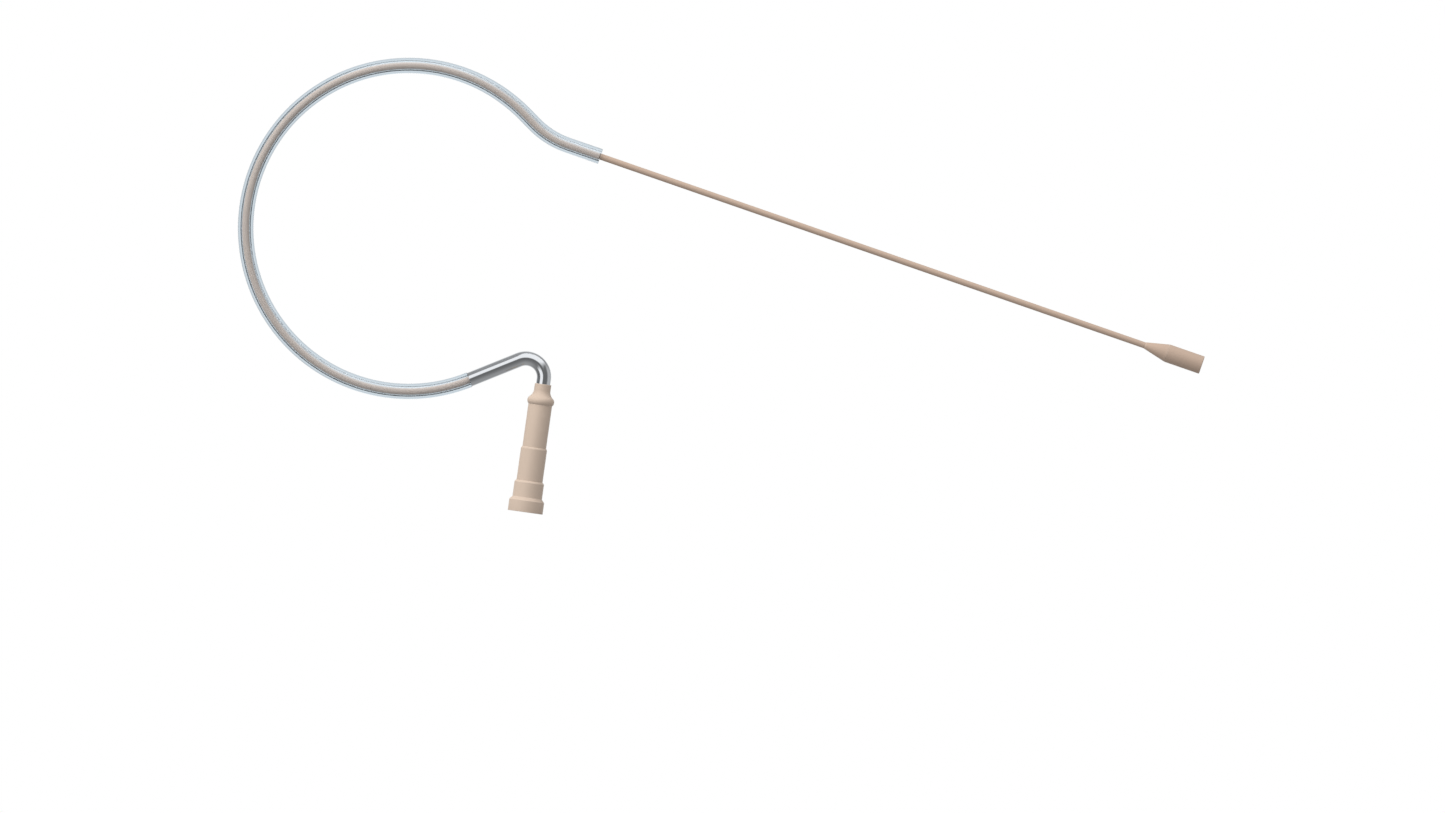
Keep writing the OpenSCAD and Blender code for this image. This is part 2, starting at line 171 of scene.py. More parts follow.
class SocketSizes(bpy.types.PropertyGroup):
    """Sizes of the socket for the plug-in cable, measured from the top of its neck."""

    socket_length: length("Socket Length", 19.4, "Length from the neck to the mouth")
    neck_d: length("Neck Diameter", 2.48, "Diameter of the neck")
    bulb_d: length("Bulb Diameter", 4.06, "Diameter of the bulb")
    bulb_round: length("Bulb Rounding", 0.75, "Radius of the bulb's round side")
    neck_fillet: length("Neck Fillet", 1.4, "Radius of the hollow curve above the bulb")
    bulb_at: length("Bulb Distance", 2.58, "Distance to the bulb's widest point")
    rear_d: length("Rear Diameter", 3.58, "Diameter of the rear barrel")
    rear_bore: length("Rear Bore", 2.74, "Bore of the rear barrel")
    rear_end: length("Rear End", 10.9, "Distance to the rear barrel's end")
    front_d: length("Front Diameter", 3.94, "Diameter of the front barrel")
    front_at: length("Front Distance", 9.6, "Distance to the front barrel")
    front_end: length("Front End", 16.2, "Distance to the front barrel's end")
    collar_d: length("Collar Diameter", 4.46, "Diameter of the collar")
    collar_at: length("Collar Distance", 14.7, "Distance to the collar")
    flange_d: length("Flange Diameter", 5.28, "Diameter of the flange")
    flange_length: length("Flange Length", 2.2, "Length of the flange with its chamfer")
    edge: length("Step Chamfer", 0.25, "Length of the chamfer at each step")
    flange_edge: length("Flange Chamfer", 0.45, "Length of the chamfer behind the flange")
    contact_end: length("Contact End", 19, "Distance to the outer contact's end")
    contact_bore: length("Contact Bore", 3.2, "Bore of the outer contact")
    insulator_d: length("Insulator Diameter", 2.6, "Diameter of the insulator")
    plug_depth: length("Plug Depth", 4.5, "Depth of the socket")
    groove_at: length("Groove Distance", 17.7, "Distance to the snap groove")
    groove_width: length("Groove Width", 0.5, "Width of the snap groove")
    groove_depth: length("Groove Depth", 0.08, "Depth of the snap groove")


class FinishColours(bpy.types.PropertyGroup):
    """Colours of the finishes."""

    paint: colour("Skin Paint", linear(220, 199, 181), "Paint of the socket")
    # lighter paint for rubbed patches, and on edges, where it also paints a highlight
    paint_worn_and_lit: colour("Rubbed Paint", linear(250, 231, 214), "Paint where edges are rubbed")
    boom: colour("Boom Paint", linear(206, 181, 162), "Paint of the boom and the capsule")
    # painted light: a lighter copy of the skin paint, standing in for the light that reaches the tube inside the
    # sleeve
    sleeved: colour("Sleeved Paint", linear(228, 212, 200), "Paint of the tube inside the sleeve")
    silicone: colour("Silicone", linear(246, 248, 250), "Tint of the clear sleeve")
    steel: colour("Steel", linear(237, 240, 244), "Polished steel of the hook tube")
    gold: colour("Gold", linear(238, 198, 112), "Plating of the contacts")
    copper: colour("Copper", linear(214, 142, 104), "Bare core of the lead")
    brass: colour("Brass", linear(212, 178, 110), "Turned brass of hidden rings")
    insulator: colour("Insulator", linear(238, 237, 232), "White plastic insulators")
    screen: colour("Lead Screen", linear(226, 186, 160), "Wound copper screen of the lead")
    board: colour("Board", linear(34, 92, 52), "Circuit board")


class StageSettings(bpy.types.PropertyGroup):
    """Camera, lights and backdrop of the studio."""

    view_width: length("View Width", 216.75, "Width of the camera's picture")
    view_x: number("View X", 0.04708, "Middle of the camera's picture", "LENGTH")
    view_z: number("View Z", -0.026705, "Middle of the camera's picture", "LENGTH")
    lamp_power: number("Lamp Power", 7.1, "Power of the lamp", "POWER")
    sky: number("Sky", 0.64, "Brightness of the room on matt surfaces", min=0)


SETTINGS = {
    "headset_loop": LoopSizes,
    "headset_boom": BoomSizes,
    "headset_socket": SocketSizes,
    "headset_finish": FinishColours,
    "headset_stage": StageSettings,
}


# -------- lines and turned shapes


class Line:
    """A line in the loop's plane, made of straight runs and round bends, walked from one end."""

    def __init__(self, start, heading):
        self.legs = []
        self.tip = Vector(start)
        self.heading = heading
        self.total = 0.0

    def run(self, distance):
        """Adds a straight run."""
        return self._add(distance, 0.0)

    def bend(self, radius, turn):
        """Adds a bend; a positive turn is anticlockwise as seen from the front."""
        return self._add(radius * abs(turn), turn)

    def _add(self, distance, turn):
        self.legs.append((self.total, distance, turn, self.tip.copy(), self.heading))
        self.tip, self.heading = self.at(self.total + distance)
        self.total += distance
        return self

    def at(self, distance):
        """The point and the heading at a distance along the line."""
        begin, extent, turn, start, heading = self.legs[0]
        for leg in self.legs:
            if distance >= leg[0] - SAME_PLACE:
                begin, extent, turn, start, heading = leg
        along = distance - begin
        if not turn:
            return start + along * way(heading), heading
        angle_here = turn * along / extent
        chord = 2 * (extent / turn) * math.sin(angle_here / 2)
        return start + chord * way(heading + angle_here / 2), heading + angle_here

    def stations(self, low, high):
        """Distances from low to high that follow every bend smoothly."""
        found = {low, high}
        for begin, extent, turn, _, _ in self.legs:
            steps = max(1, math.ceil(abs(turn) / BEND_STEP))
            for step in range(steps + 1):
                distance = begin + extent * step / steps
                if min(low, high) < distance < max(low, high):
                    found.add(distance)
        ordered = sorted(found)
        kept = [ordered[0]]
        for distance in ordered[1:]:
            if distance - kept[-1] > SAME_STATION:
                kept.append(distance)
        return kept if high > low else kept[::-1]


def way(heading):
    """Unit vector in the loop's plane."""
    return Vector((math.cos(heading), 0, math.sin(heading)))


def arc(centre, radius, first, last, steps):
    """Points (distance, radius) round a centre, from one angle to another in degrees."""
    turn = [math.radians(first + (last - first) * step / steps) for step in range(steps + 1)]
    return [(centre[0] + radius * math.cos(a), centre[1] + radius * math.sin(a)) for a in turn]


def softened(*corners, steps=4):
    """An outline with each corner (distance, radius, rounding) turned into a short arc."""
    points = []
    for index, corner in enumerate(corners):
        here = Vector(corner[:2])
        rounding = corner[2] if len(corner) > 2 else 0
        before = Vector(corners[index - 1][:2]) - here
        after = Vector(corners[(index + 1) % len(corners)][:2]) - here
        if not rounding or min(before.length, after.length) < SAME_PLACE:
            points.append(tuple(here))
            continue
        half = before.angle(after) / 2
        room = MOST_OF_SIDE * min(before.length, after.length)
        back = min(rounding / math.tan(half), room)
        start = here + back * before.normalized()
        end = here + back * after.normalized()
        for step in range(steps + 1):
            share = step / steps
            first = start.lerp(here, share)
            second = here.lerp(end, share)
            points.append(tuple(first.lerp(second, share)))
    return points


def turned(name, stands_for, finish, line, outline, sides=72, closed=True, body="ear_loop"):
    """A part that is round about a line: its outline is a list of points (distance, radius).

    A closed outline goes round the wall of a tube; an open one starts and ends on the line.
    """
    stations = []
    followers = outline[1:] + outline[:1] if closed else outline[1:]
    for (from_d, from_r), (to_d, to_r) in zip(outline, followers):
        if abs(to_d - from_d) < SAME_PLACE:
            stations.append((from_d, from_r))
            continue
        for distance in line.stations(from_d, to_d)[:-1]:
            share = (distance - from_d) / (to_d - from_d)
            stations.append((distance, from_r + (to_r - from_r) * share))
    if not closed:
        stations.append(outline[-1])
    mesh = bmesh.new()
    wrap = mesh.loops.layers.uv.new("wrap")
    rings = []
    for distance, radius in stations:
        point, heading = line.at(distance)
        if radius < SAME_STATION:
            rings.append([mesh.verts.new(point)])
            continue
        up = way(heading + math.pi / 2)
        rings.append(circle(mesh, point, radius, up, SIDE_WAY, sides))
    travelled = [0.0]
    for (from_d, from_r), (to_d, to_r) in zip(stations, stations[1:] + stations[:1]):
        travelled.append(travelled[-1] + math.hypot(to_d - from_d, to_r - from_r))
    for index in range(len(rings) if closed else len(rings) - 1):
        ring, following = rings[index], rings[(index + 1) % len(rings)]
        for side in range(sides):
            corners = {}
            for vertices, step, around in (
                (ring, index, side),
                (ring, index, side + 1),
                (following, index + 1, side + 1),
                (following, index + 1, side),
            ):
                vertex = vertices[around % len(vertices)]
                corners.setdefault(vertex, (travelled[step] / MM, around / sides))
            if len(corners) > 2:
                face = mesh.faces.new(list(corners))
                for loop, place in zip(face.loops, corners.values()):
                    loop[wrap].uv = place
    return finished_piece(name, stands_for, finish, mesh, body)


def circle(mesh, centre, radius, first_way, second_way, sides):
    """New vertices in a circle that starts in the first way and turns to the second."""
    turns = [2 * math.pi * side / sides for side in range(sides)]
    ways = [math.cos(turn) * first_way + math.sin(turn) * second_way for turn in turns]
    return [mesh.verts.new(centre + radius * out) for out in ways]


def placed(name, data):
    """An object made from its data, in the scene."""
    made = bpy.data.objects.new(name, data)
    bpy.context.scene.collection.objects.link(made)
    return made


def finished_piece(name, stands_for, finish, mesh, body):
    """Turns a bmesh into a smooth object that stands for its CAD node and rides on its body."""
    bmesh.ops.recalc_face_normals(mesh, faces=mesh.faces)
    data = bpy.data.meshes.new(name)
    mesh.to_mesh(data)
    mesh.free()
    data.shade_smooth()
    data.set_sharp_from_angle(angle=SHARP_ANGLE)
    data.materials.append(FINISHES[finish])
    piece = placed(name, data)
    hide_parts(stands_for)
    if body:
        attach(piece, body)
    return piece


def ear_line(sizes):
    """The line from the boom's pivot back round the loop and over the hook to the socket."""
    return (
        Line(PIVOT, BOOM_HEADING + math.pi)
        .run(sizes.sleeve_tail)
        .bend(sizes.bend_radius, -sizes.bend_turn)
        .run(sizes.bend_lead)
        .bend(sizes.loop_radius, sizes.loop_turn)
        .run(sizes.hook_run)
        .bend(sizes.hook_radius, -sizes.hook_turn)
        .run(sizes.hook_tail + SPARE_LINE)
    )


def sleeve_length(sizes):
    """Length of the comfort sleeve along its line."""
    return (
        sizes.sleeve_tail
        + sizes.bend_radius * sizes.bend_turn
        + sizes.bend_lead
        + sizes.loop_radius * sizes.loop_turn
    )


def hook_length(sizes):
    """Length of the hook tube from the sleeve to the socket's neck."""
    return sizes.hook_run + sizes.hook_radius * sizes.hook_turn + sizes.hook_tail


def bulb_end(sizes):
    """Distance from the neck to the crease at which the bulb meets the rear barrel."""
    drop = (sizes.rear_d - sizes.bulb_d) / 2 + sizes.bulb_round
    return sizes.bulb_at + math.sqrt(sizes.bulb_round**2 - drop**2)


def socket_line(sizes):
    """The straight line from the top of the socket's neck out through its mouth."""
    point, heading = ear_line(sizes).at(sleeve_length(sizes) + hook_length(sizes))
    return Line(point, heading).run(SPARE_LINE)


def boom_line(sizes):
    """The straight line of the boom from its pivot to beyond the cap."""
    return Line(PIVOT, BOOM_HEADING).run(sizes.boom_length + SPARE_LINE)


# -------- shader maths


def maths(operation, swapped=False):
    """A method that puts a Math node between a value and another value or number."""

    def apply(value, other):
        first, second = (other, value) if swapped else (value, other)
        return value.tree.node("Math", {0: first, 1: second}, operation=operation)

    return apply


class Value:
    """A socket of a shader tree; arithmetic on it adds Math nodes."""

    def __init__(self, tree, socket):
        self.tree = tree
        self.socket = socket

    __add__, __radd__ = maths("ADD"), maths("ADD", swapped=True)
    __sub__, __rsub__ = maths("SUBTRACT"), maths("SUBTRACT", swapped=True)
    __mul__, __rmul__ = maths("MULTIPLY"), maths("MULTIPLY", swapped=True)
    __pow__ = maths("POWER")

    def clamped(self):
        """The value kept between 0 and 1."""
        return self.tree.node("Clamp", {"Value": self})

    def rise(self, start, steepness):
        """0 up to a start, then climbing to 1."""
        return ((self - start) * steepness).clamped()


class Tree:
    """A node tree being built for a material or the world."""

    def __init__(self, owner):
        self.owner = owner
        owner.use_nodes = True
        self.nodes = owner.node_tree.nodes
        self.links = owner.node_tree.links
        self.nodes.clear()

    def node(self, kind, inputs=None, output=0, **settings):
        """Adds a node with its socket values or links and its settings, and gives one output."""
        made = self.nodes.new("ShaderNode" + kind)
        for name, value in settings.items():
            setattr(made, name, value)
        for name, value in (inputs or {}).items():
            socket = made.inputs[name]
            if isinstance(value, Value):
                self.links.new(value.socket, socket)
            elif value is not None:
                is_colour = socket.type == "RGBA" and len(value) == 3
                socket.default_value = (*value, 1) if is_colour else value
        return Value(self, made.outputs[output])

    def ramp(self, value, *stops):
        """A grey that follows stops (value, grey)."""
        shade = self.node("ValToRGB", {"Fac": value})
        elements = shade.socket.node.color_ramp.elements
        while len(elements) < len(stops):
            elements.new(0.5)
        for element, (position, grey) in zip(elements, stops):
            element.position = position
            element.color = (grey, grey, grey, 1)
        return shade

    def mixed(self, share, first, second):
        """Two colours mixed by a share."""
        return self.node("Mix", {"Factor": share, 6: first, 7: second}, 2, data_type="RGBA")

    def noise(self, scale, detail=2.0, roughness=0.5, place=None):
        """A noise pattern from 0 to 1, at a scale in features per metre."""
        place = place or self.node("TexCoord", output="Object")
        inputs = {"Vector": place, "Scale": scale, "Detail": detail, "Roughness": roughness}
        return self.node("TexNoise", inputs)

    def stretched(self, along, around):
        """Place on a turned part, in millimetres along and turns round, each with its own scale."""
        wrap = self.node("UVMap", uv_map="wrap")
        return self.node("Mapping", {"Vector": wrap, "Scale": (along, around, 1)})

    def bump(self, height, distance, strength):
        """A bumped normal from a height."""
        return self.node("Bump", {"Height": height, "Distance": distance, "Strength": strength})

    def normal(self):
        """The face's normal in the room."""
        return self.node("NewGeometry", output="Normal")

    def axes(self, vector, names):
        """The named parts of a vector."""
        return [self.node("SeparateXYZ", {"Vector": vector}, name) for name in names]

    def edges(self, radius):
        """How much of an edge a place is: 0 on flat or gently curved faces, 1 on an edge."""
        rounded = self.node("Bevel", {"Radius": radius}, samples=6)
        inputs = {0: rounded, 1: self.normal()}
        alike = self.node("VectorMath", inputs, "Value", operation="DOT_PRODUCT")
        return ((1 - alike) * 14).clamped()

    def crease_shade(self, reach):
        """How much painted crease shade a place gets: 0 in the open, 1 deep in a corner."""
        open_share = self.node("AmbientOcclusion", {"Distance": reach}, "AO", samples=8)
        return ((0.92 - open_share) * 1.6).clamped()

    def finish(self, shader, target="OutputMaterial"):
        """Connects the final shader and gives the material or world."""
        output = self.nodes.new("ShaderNode" + target)
        self.links.new(shader.socket, output.inputs["Surface"])
        return self.owner

    def cover(self, shade, roughness, normal=None, more=None):
        """Finishes the tree with a Principled shader and gives the material."""
        inputs = {"Base Color": shade, "Roughness": roughness, "Normal": normal, **(more or {})}
        return self.finish(self.node("BsdfPrincipled", inputs))


# -------- finishes

METAL = {"Metallic": 1.0}
BRIGHT_SIDE = (0.47, 0.88)  # sideways and up: where a clear sleeve gathers most light
# colours of the sleeve's inner layer: painted shade and painted highlight
PAINTED_SHADE_LAYER = (0.15, 0.165, 0.175)
PAINTED_HIGHLIGHT_LAYER = (0.8, 0.84, 0.87)


def new_finish(name):
    """The empty tree of a material."""
    return Tree(bpy.data.materials.get(name) or bpy.data.materials.new(name))


def darker(shade, share):
    """A colour at a share of its brightness."""
    return tuple(share * part for part in shade)


def skin_paint(name, base, worn_and_lit, crease=0.0, gathered=0.0):
    """Satin skin-tone paint with a fine orange peel, faint mottling and rubbed edges; the lighter edges are partly
    wear and partly a painted highlight.

    crease paints shade into its corners and creases; gathered lightens it where a clear sleeve gathers light on
    it.
    """
    tree = new_finish(name)
    mottle = tree.noise(900, 3.0)
    peel = tree.noise(9000)
    speck = tree.noise(30000, 1.0)
    rubbed = 0.12 * tree.ramp(mottle, (0.56, 0.0), (0.8, 1.0))
    # lighter paint on edges: partly rubbed wear, partly a painted highlight along the steps' chamfers
    worn_and_highlit_edges = tree.edges(0.16 * MM) * (0.75 + 0.5 * mottle)
    shade = tree.mixed((rubbed + worn_and_highlit_edges).clamped(), base, worn_and_lit)
    shade = tree.mixed(speck.rise(0.5, 0.5), shade, darker(base, 0.86))
    if crease:
        # painted shade: darker paint in creases and corners, where shade falls
        shade = tree.mixed(tree.crease_shade(0.6 * MM) * crease, shade, darker(base, 0.5))
    # painted highlight: lighter paint where the sleeve would gather light, on the lit upper side and on the
    # underside
    if gathered:
        sideways, upward = tree.axes(tree.normal(), "XZ")
        bright = (BRIGHT_SIDE[0] * sideways + BRIGHT_SIDE[1] * upward).rise(0.35, 2.2)
        below = (-1 * upward).rise(0.5, 2)
        shade = tree.mixed((bright + below) * gathered, shade, (0.98, 0.97, 0.96))
    satin = {"IOR": 1.45, "Specular IOR Level": 0.42}
    normal = tree.bump(peel + 0.3 * speck, 0.004 * MM, 0.6)
    return tree.cover(shade, 0.42 + 0.12 * mottle, normal, satin)


def clear_silicone(colours):
    """Clear silicone, faintly blue, with soft flow ripples and a little dust haze.

    A dark diffuse layer inside, at grazing angles, paints shade into the lines beside the tube; on the bright side
    it is thin and pale, a painted highlight.
    """
    tree = new_finish("clear_silicone")
    ripple = tree.noise(1.0, place=tree.stretched(0.25, 6.0))
    haze = tree.ramp(tree.noise(2600, 4.0, 0.6), (0.6, 0.0), (0.85, 1.0))
    inputs = {
        "Base Color": tree.mixed(0.2 * haze, colours.silicone, (0.9, 0.93, 0.95)),
        "Roughness": 0.02 + 0.08 * haze,
        "IOR": 1.41,
        "Transmission Weight": 1.0,
        "Normal": tree.bump(ripple, 0.01 * MM, 0.25),
    }
    glass = tree.node("BsdfPrincipled", inputs)
    inside = tree.node("NewGeometry", output="Backfacing")
    grazing = tree.node("LayerWeight", {"Blend": 0.5}, "Facing")
    sideways, upward = tree.axes(tree.normal(), "XZ")
    bright = (BRIGHT_SIDE[0] * sideways + BRIGHT_SIDE[1] * upward).rise(0.4, 2.8)
    # painted shade: a dark layer on the inside at grazing angles darkens the lines beside the tube
    wide, thin = grazing.rise(0.3, 5), grazing.rise(0.45, 4)
    painted_line_share = 0.9 * inside * (wide - (wide - thin) * bright)
    # painted highlight: on the lit upper right the layer turns pale
    painted_highlight_share = 0.65 * bright * (3 * sideways).clamped()
    painted_line_layer = tree.node("BsdfDiffuse", {"Color": tree.mixed(painted_highlight_share, PAINTED_SHADE_LAYER, PAINTED_HIGHLIGHT_LAYER)})
    lined = tree.node("MixShader", {0: painted_line_share, 1: glass, 2: painted_line_layer})
    clear = tree.node("BsdfTransparent", {"Color": (0.98, 0.985, 0.99)})
    shadow = tree.node("LightPath", output="Is Shadow Ray")
    return tree.finish(tree.node("MixShader", {0: shadow, 1: lined, 2: clear}))


def polished_steel(colours):
    """Polished stainless tube with faint drawing lines along it and tiny handling marks."""
    tree = new_finish("polished_steel")
    drawn = tree.noise(1.0, 3.0, place=tree.stretched(0.12, 90.0))
    marks = tree.noise(2200, 5.0, 0.65)
    shade = tree.mixed(0.25 * marks, colours.steel, (0.62, 0.64, 0.66))
    roughness = 0.05 + 0.06 * drawn + 0.05 * marks
    return tree.cover(shade, roughness, tree.bump(drawn, 0.003 * MM, 0.5), METAL)


def plated(name, base):
    """A plated metal with fine turning rings."""
    tree = new_finish(name)
    rings = tree.noise(1.0, place=tree.stretched(40.0, 0.6))
    tarnish = tree.noise(1500, 4.0)
    shade = tree.mixed(0.4 * tarnish, base, darker(base, 0.75))
    return tree.cover(shade, 0.22 + 0.12 * tarnish, tree.bump(rings, 0.003 * MM, 0.5), METAL)


def hidden_metal(name, base, roughness=0.3):
    """Metal of a hidden part, with a little tarnish."""
    tree = new_finish(name)
    tarnish = tree.noise(4000, 4.0)
    shade = tree.mixed(0.5 * tarnish, base, darker(base, 0.7))
    normal = tree.bump(tree.noise(12000), 0.002 * MM, 0.5)
    return tree.cover(shade, roughness + 0.2 * tarnish, normal, METAL)


def moulded(name, base, roughness=0.5):
    """Moulded or cast plastic with a fine texture."""
    tree = new_finish(name)
    grain = tree.noise(7000, 3.0)
    shade = tree.mixed(0.3 * tree.noise(1200), base, darker(base, 0.8))
    return tree.cover(shade, roughness + 0.15 * grain, tree.bump(grain, 0.004 * MM, 0.4))


def make_finishes(colours):
    """All finishes by name: the record's material slots and two more shades of its skin paint, one of them
    lightened with painted light for the tube inside the sleeve.
    """
    made = [
        skin_paint("skin_paint", colours.paint, colours.paint_worn_and_lit, crease=0.6),
        skin_paint("boom_paint", colours.boom, colours.paint, crease=0.5),
        # a lighter copy of the paint: painted light on the tube inside the sleeve
        skin_paint("lit_sleeved_paint", colours.sleeved, colours.paint_worn_and_lit, gathered=0.85),
        clear_silicone(colours),
        polished_steel(colours),
        plated("gold_plate", colours.gold),
        hidden_metal("bare_copper", colours.copper),
        hidden_metal("plain_brass", colours.brass),
        hidden_metal("can_metal", (0.62, 0.62, 0.64)),
        hidden_metal("fine_mesh", (0.4, 0.4, 0.41), 0.35),
        hidden_metal("plated_film", (0.75, 0.66, 0.4), 0.15),
        moulded("white_insulator", colours.insulator),
        hidden_metal("lead_screen", colours.screen, 0.4),
        moulded("board_laminate", colours.board, 0.3),
        moulded("chip_body", (0.012, 0.012, 0.014), 0.45),
    ]
    return {material.name: material for material in made}


FINISHES = {}  # filled by the first step


# -------- pieces


def tube_outline(begin, end, outer_d, bore_d):
    """Closed outline of a tube's wall with softened ends."""
    soft = 0.06 * MM
    inner_soft = min(soft, (outer_d - bore_d) / 6)
    return softened(
        (begin, outer_d / 2, soft),
        (end, outer_d / 2, soft),
        (end, bore_d / 2, inner_soft),
        (begin, bore_d / 2, inner_soft),
    )


class HEADSET_OT_finishes(bpy.types.Operator):
    """Make the finishes and give them to the CAD parts"""

    bl_idname = "headset.finishes"
    bl_label = "Finishes"

    def execute(self, context):
        FINISHES.update(make_finishes(context.scene.headset_finish))
        for part in frame["record"]["subparts"]:
            data = frame["nodes"][part["node"]].data
            data.materials.clear()
            data.materials.append(FINISHES[part["material_slot"]])
        return {"FINISHED"}


class HEADSET_OT_ear_tube(bpy.types.Operator):
    """Build the metal tube of the ear loop"""

    bl_idname = "headset.ear_tube"
    bl_label = "Ear Tube"

    def execute(self, context):
        sizes = context.scene.headset_loop
        end = sleeve_length(sizes) + sizes.wire_seat
        soft = 0.01 * MM
        edge = math.degrees(math.acos(sizes.cup_edge / sizes.cup_r))
        bottom = math.degrees(math.asin(sizes.cup_bore / 2 / sizes.cup_r))
        outline = [
            *arc((0.0, 0.0), sizes.cup_r, bottom, edge, 8),
            (sizes.cup_edge, sizes.tube_d / 2 - soft),
            (sizes.cup_edge + soft, sizes.tube_d / 2),
            (end, sizes.tube_d / 2),
            (end, sizes.tube_bore / 2),
            (sizes.flex_half, sizes.tube_bore / 2),
        ]
        turned("ear_tube", "ear_wire", "lit_sleeved_paint", ear_line(sizes), outline, sides=40)
        return {"FINISHED"}


class HEADSET_OT_sleeve(bpy.types.Operator):
    """Build the clear comfort sleeve"""

    bl_idname = "headset.sleeve"
    bl_label = "Comfort Sleeve"

    def execute(self, context):
        sizes = context.scene.headset_loop
        outline = tube_outline(0.0, sleeve_length(sizes), sizes.sleeve_d, sizes.sleeve_bore)
        line = ear_line(sizes)
        turned("clear_sleeve", "comfort_sleeve", "clear_silicone", line, outline, sides=64)
        return {"FINISHED"}


class HEADSET_OT_hook(bpy.types.Operator):
    """Build the polished hook tube"""

    bl_idname = "headset.hook"
    bl_label = "Hook Tube"

    def execute(self, context):
        sizes = context.scene.headset_loop
        begin = sleeve_length(sizes)
        end = begin + hook_length(sizes) + sizes.tube_seat
        outline = tube_outline(begin, end, sizes.hook_d, sizes.hook_bore)
        turned("hook", "hook_tube", "polished_steel", ear_line(sizes), outline, sides=64)
        return {"FINISHED"}


class HEADSET_OT_boot(bpy.types.Operator):
    """Build the shoulder with its neck and bulb"""

    bl_idname = "headset.boot"
    bl_label = "Tube Boot"

    def execute(self, context):
        sizes = context.scene.headset_socket
        tube = context.scene.headset_loop
        bulb = (sizes.bulb_at, sizes.bulb_d / 2 - sizes.bulb_round)
        fillet_r = sizes.neck_d / 2 + sizes.neck_fillet
        reach = sizes.bulb_round + sizes.neck_fillet
        fillet = (sizes.bulb_at - math.sqrt(reach**2 - (fillet_r - bulb[1]) ** 2), fillet_r)
        touch = math.degrees(math.atan2(fillet[1] - bulb[1], fillet[0] - bulb[0]))
        crease = bulb_end(sizes)
        leave = math.degrees(math.acos((crease - bulb[0]) / sizes.bulb_round))
        seat, seat_back = tube.tube_seat, crease + 1.3 * MM
        soft = 0.02 * MM
        outline = [
            (0.0, tube.hook_d / 2),
            (0.0, sizes.neck_d / 2 - soft),
            (soft, sizes.neck_d / 2),
            *arc(fillet, sizes.neck_fillet, -90, touch - 180, 8),
            *arc(bulb, sizes.bulb_round, touch, leave, 14)[1:],
            (crease, sizes.rear_bore / 2),
            (seat_back, sizes.rear_bore / 2),
            (seat_back, tube.hook_bore / 2),
            (seat, tube.hook_bore / 2),
            (seat, tube.hook_d / 2),
        ]
        turned("boot", "tube_boot", "skin_paint", socket_line(tube), outline)
        return {"FINISHED"}


class HEADSET_OT_barrels(bpy.types.Operator):
    """Build the two barrels of the socket"""

    bl_idname = "headset.barrels"
    bl_label = "Barrels"

    def execute(self, context):
        sizes = context.scene.headset_socket
        line = socket_line(context.scene.headset_loop)
        crease = bulb_end(sizes)
        soft = 0.05 * MM
        rear = softened(
            (crease, sizes.rear_d / 2, soft),
            (sizes.rear_end, sizes.rear_d / 2),
            (sizes.rear_end, sizes.rear_bore / 2),
            (crease, sizes.rear_bore / 2),
        )
        turned("barrel_rear", "rear_barrel", "skin_paint", line, rear)
        front = softened(
            (sizes.front_at, sizes.rear_d / 2),
            (sizes.front_at, sizes.rear_d / 2 + sizes.edge / 4, soft),
            (sizes.front_at + sizes.edge, sizes.front_d / 2, soft),
            (sizes.front_end, sizes.front_d / 2),
            (sizes.front_end, sizes.rear_d / 2),
        )
        turned("barrel_front", "front_barrel", "skin_paint", line, front)
        return {"FINISHED"}


class HEADSET_OT_mouth(bpy.types.Operator):
    """Build the collar and flange around the socket's mouth"""

    bl_idname = "headset.mouth"
    bl_label = "Mouth Ring"

    def execute(self, context):
        sizes = context.scene.headset_socket
        soft = 0.06 * MM
        lip = 0.15 * MM
        end = sizes.socket_length
        flange_at = end - sizes.flange_length
        outline = softened(
            (sizes.collar_at, sizes.front_d / 2),
            (sizes.collar_at, sizes.front_d / 2 + sizes.edge / 4, soft),
            (sizes.collar_at + sizes.edge, sizes.collar_d / 2, soft),
            (flange_at, sizes.collar_d / 2, soft),
            (flange_at + sizes.flange_edge, sizes.flange_d / 2, soft),
            (end, sizes.flange_d / 2, soft),
            (end, sizes.contact_bore / 2 + lip, soft / 2),
            (end - lip, sizes.contact_bore / 2, soft / 2),
            (sizes.contact_end, sizes.contact_bore / 2),
            (sizes.contact_end, sizes.rear_d / 2),
            (sizes.front_end, sizes.rear_d / 2),
            (sizes.front_end, sizes.front_d / 2),
        )
        line = socket_line(context.scene.headset_loop)
        turned("mouth", "mouth_ring", "skin_paint", line, outline, sides=96)
        return {"FINISHED"}


